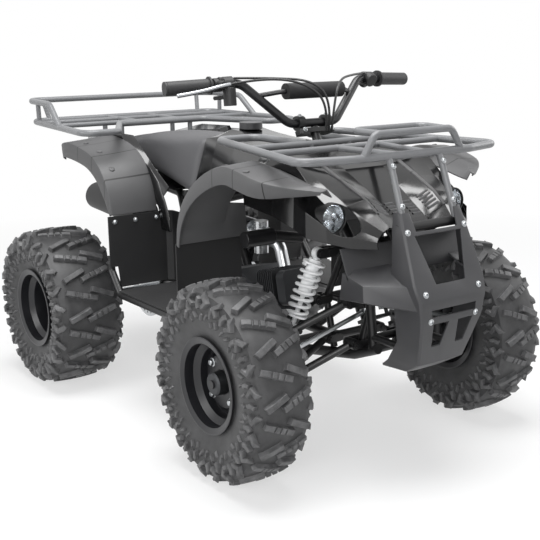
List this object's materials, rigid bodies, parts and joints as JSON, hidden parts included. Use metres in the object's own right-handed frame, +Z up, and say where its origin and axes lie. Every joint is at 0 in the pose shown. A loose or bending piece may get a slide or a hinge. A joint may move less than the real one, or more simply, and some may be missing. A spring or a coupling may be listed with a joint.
{
  "type": "quad bike",
  "caption": "Youth utility quad bike with tube racks front and rear, a plastic brush guard, coil-over front suspension, steering and free-turning knobbly wheels.",
  "frame": {"origin": "on the ground under the middle of the overall length, on the centre line", "axes": "+X forward, +Y to the rider's left, +Z up"},
  "size_m": [1.5855, 0.9846, 0.9276],
  "materials": {
    "frame_paint": "satin",
    "rack_paint": "satin",
    "bar_paint": "satin",
    "engine_casting": "cast",
    "zinc_casting": "cast",
    "exhaust_black": "matte",
    "guard_plastic": "grained",
    "cowl_plastic": "gloss",
    "flare_plastic": "grained",
    "mud_plastic": "matte",
    "seat_vinyl": "grained",
    "lamp_glass": "clear",
    "red_lens": "clear",
    "spring_paint": "gloss",
    "pad_foam": "woven",
    "grip_rubber": "ribbed",
    "knuckle_iron": "painted",
    "zinc_rod": "zinc plated",
    "rim_paint": "satin",
    "tyre": "matte",
    "axle_steel": "machined",
    "disc_steel": "ground"
  },
  "bodies": {
    "chassis": {"frame": "frame_paint", "engine": "engine_casting", "carburettor": "zinc_casting", "exhaust": "exhaust_black", "front_rack": "rack_paint", "rear_rack": "rack_paint", "front_bumper": "guard_plastic", "nose_cowl": "cowl_plastic", "lower_grille": "guard_plastic", "front_fender_left": "flare_plastic", "front_fender_right": "flare_plastic", "tank_cover": "cowl_plastic", "fuel_cap": "guard_plastic", "seat": "seat_vinyl", "rear_body": "cowl_plastic", "rear_fender_left": "flare_plastic", "rear_fender_right": "flare_plastic", "footwell_left": "mud_plastic", "footwell_right": "mud_plastic", "headlights": "lamp_glass", "tail_light": "red_lens", "upper_arms": "frame_paint", "lower_arms": "frame_paint", "front_shocks": "spring_paint", "rear_shock": "spring_paint", "swingarm": "frame_paint"},
    "steering": {"steering_stem": "frame_paint", "handlebar": "bar_paint", "bar_pad": "pad_foam", "grips": "grip_rubber"},
    "knuckle_left": {"knuckle_left": "knuckle_iron"},
    "knuckle_right": {"knuckle_right": "knuckle_iron"},
    "tie_rod_left": {"tie_rod_left": "zinc_rod"},
    "tie_rod_right": {"tie_rod_right": "zinc_rod"},
    "front_wheel_left": {"front_hub_left": "engine_casting", "front_rim_left": "rim_paint", "front_tyre_left": "tyre"},
    "front_wheel_right": {"front_hub_right": "engine_casting", "front_rim_right": "rim_paint", "front_tyre_right": "tyre"},
    "rear_wheels": {"rear_axle": "axle_steel", "rear_rim_left": "rim_paint", "rear_rim_right": "rim_paint", "rear_tyre_left": "tyre", "rear_tyre_right": "tyre", "rear_sprocket": "axle_steel", "rear_brake_disc": "disc_steel"}
  },
  "joints": [
    {"name": "steer", "type": "hinge", "parent": "chassis", "child": "steering", "pos_m": [0.478, 0, 0.33], "axis": [-0.4147, 0, 0.91], "range_deg": [-30, 30]},
    {"name": "kingpin_left", "type": "hinge", "parent": "chassis", "child": "knuckle_left", "pos_m": [0.437, 0.288, 0.241], "axis": [0, 0, 1], "range_deg": [-24, 24]},
    {"name": "tie_rod_end_left", "type": "hinge", "parent": "knuckle_left", "child": "tie_rod_left", "pos_m": [0.499, 0.282, 0.292], "axis": [0, 0, 1], "range_deg": [-27.6, 27.6]},
    {"name": "front_wheel_spin_left", "type": "hinge", "parent": "knuckle_left", "child": "front_wheel_left", "pos_m": [0.437, 0.378, 0.241], "axis": [0, 1, 0], "continuous": true},
    {"name": "kingpin_right", "type": "hinge", "parent": "chassis", "child": "knuckle_right", "pos_m": [0.437, -0.288, 0.241], "axis": [0, 0, 1], "range_deg": [-24, 24]},
    {"name": "tie_rod_end_right", "type": "hinge", "parent": "knuckle_right", "child": "tie_rod_right", "pos_m": [0.499, -0.282, 0.292], "axis": [0, 0, 1], "range_deg": [-27.6, 27.6]},
    {"name": "front_wheel_spin_right", "type": "hinge", "parent": "knuckle_right", "child": "front_wheel_right", "pos_m": [0.437, -0.378, 0.241], "axis": [0, 1, 0], "continuous": true},
    {"name": "rear_axle_spin", "type": "hinge", "parent": "chassis", "child": "rear_wheels", "pos_m": [-0.493, 0, 0.231], "axis": [0, 1, 0], "continuous": true}
  ],
  "couplings": [
    {"joint": "kingpin_left", "follows": "steer", "ratio": 0.8},
    {"joint": "tie_rod_end_left", "follows": "steer", "ratio": -0.92},
    {"joint": "kingpin_right", "follows": "steer", "ratio": 0.8},
    {"joint": "tie_rod_end_right", "follows": "steer", "ratio": -0.92}
  ]
}
